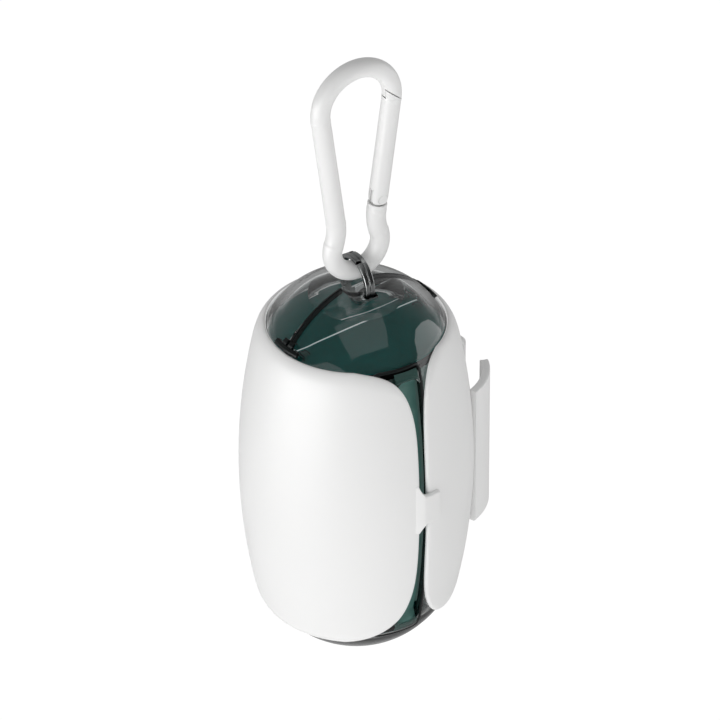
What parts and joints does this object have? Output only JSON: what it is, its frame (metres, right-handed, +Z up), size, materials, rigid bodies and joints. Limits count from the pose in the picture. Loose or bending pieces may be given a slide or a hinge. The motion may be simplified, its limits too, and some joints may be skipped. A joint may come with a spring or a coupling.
{
  "type": "dog waste bag dispenser",
  "caption": "Clip-on pet waste bag dispenser: two-part smoked capsule in a soft white sleeve with dispensing slot and leash channel, hung from a snap hook by a split ring",
  "frame": {"origin": "the inside top of the snap hook, where the dispenser hangs from a ring, a strap or a belt loop", "axes": "+Z up along the capsule; -Y the side with the dispensing slot; +X the side with the leash channel; the capsule's halves part at Y = 0"},
  "size_m": [0.0552, 0.0514, 0.146],
  "materials": {
    "hook_white": "satin powder coat",
    "steel": "plain steel",
    "ring_dark": "dark nickel plating",
    "shell_smoke": "gloss, smoked and see-through",
    "sleeve_white": "matte silicone",
    "bag_film": "rolled thin film",
    "core_card": "plain card"
  },
  "bodies": {
    "hook": {"carabiner_body": "hook_white", "gate_rivet": "steel"},
    "gate": {"carabiner_gate": "hook_white", "gate_spring": "steel"},
    "plunger": {"gate_plunger": "steel"},
    "ring": {"split_ring": "ring_dark"},
    "front_half": {"front_shell": "shell_smoke", "sleeve_front_panel": "sleeve_white", "sleeve_side_panel": "sleeve_white"},
    "rear_half": {"rear_shell": "shell_smoke", "sleeve_rear_panel": "sleeve_white"},
    "roll": {"bag_roll": "bag_film", "roll_core": "core_card"},
    "tab": {"closure_tab": "sleeve_white"},
    "flap_front": {"leash_flap_front": "sleeve_white"},
    "flap_rear": {"leash_flap_rear": "sleeve_white"}
  },
  "joints": [
    {"name": "gate_opens", "type": "hinge", "parent": "hook", "child": "gate", "pos_m": [0.00544, 0, -0.03146], "axis": [0, 1, 0], "range_deg": [-22, 0], "stiffness_Nm_per_rad": 0.004, "deforming": ["gate_spring"]},
    {"name": "plunger_slides", "type": "slide", "parent": "gate", "child": "plunger", "axis": [0.1353, 0, 0.9908], "range_m": [0, 0.00036]},
    {"name": "ring_swings", "type": "hinge", "parent": "hook", "child": "ring", "pos_m": [0, 0, -0.04805], "axis": [1, 0, 0], "range_deg": [-35, 35]},
    {"name": "front_opens", "type": "hinge", "parent": "ring", "child": "front_half", "pos_m": [0, 0, -0.0506], "axis": [1, 0, 0], "range_deg": [-27, 0]},
    {"name": "rear_opens", "type": "hinge", "parent": "ring", "child": "rear_half", "pos_m": [0, 0, -0.0506], "axis": [1, 0, 0], "range_deg": [0, 27]},
    {"name": "roll_turns", "type": "hinge", "parent": "front_half", "child": "roll", "pos_m": [0, 0, -0.0963], "axis": [0, 0, 1], "continuous": true},
    {"name": "tab_lifts", "type": "hinge", "parent": "front_half", "child": "tab", "pos_m": [0.0005, -0.02505, -0.0963], "axis": [0, 0, -1], "range_deg": [0, 60], "stiffness_Nm_per_rad": 0.00005},
    {"name": "front_flap_lifts", "type": "hinge", "parent": "front_half", "child": "flap_front", "pos_m": [0.02109, -0.01304, -0.0963], "axis": [0, 0, -1], "range_deg": [0, 35], "stiffness_Nm_per_rad": 0.001},
    {"name": "rear_flap_lifts", "type": "hinge", "parent": "rear_half", "child": "flap_rear", "pos_m": [0.02109, 0.01304, -0.0963], "axis": [0, 0, 1], "range_deg": [0, 35], "stiffness_Nm_per_rad": 0.001}
  ],
  "couplings": [
    {"joint": "rear_opens", "follows": "front_opens", "ratio": -1},
    {"joint": "plunger_slides", "follows": "gate_opens", "m_per_rad": -0.0009366}
  ]
}
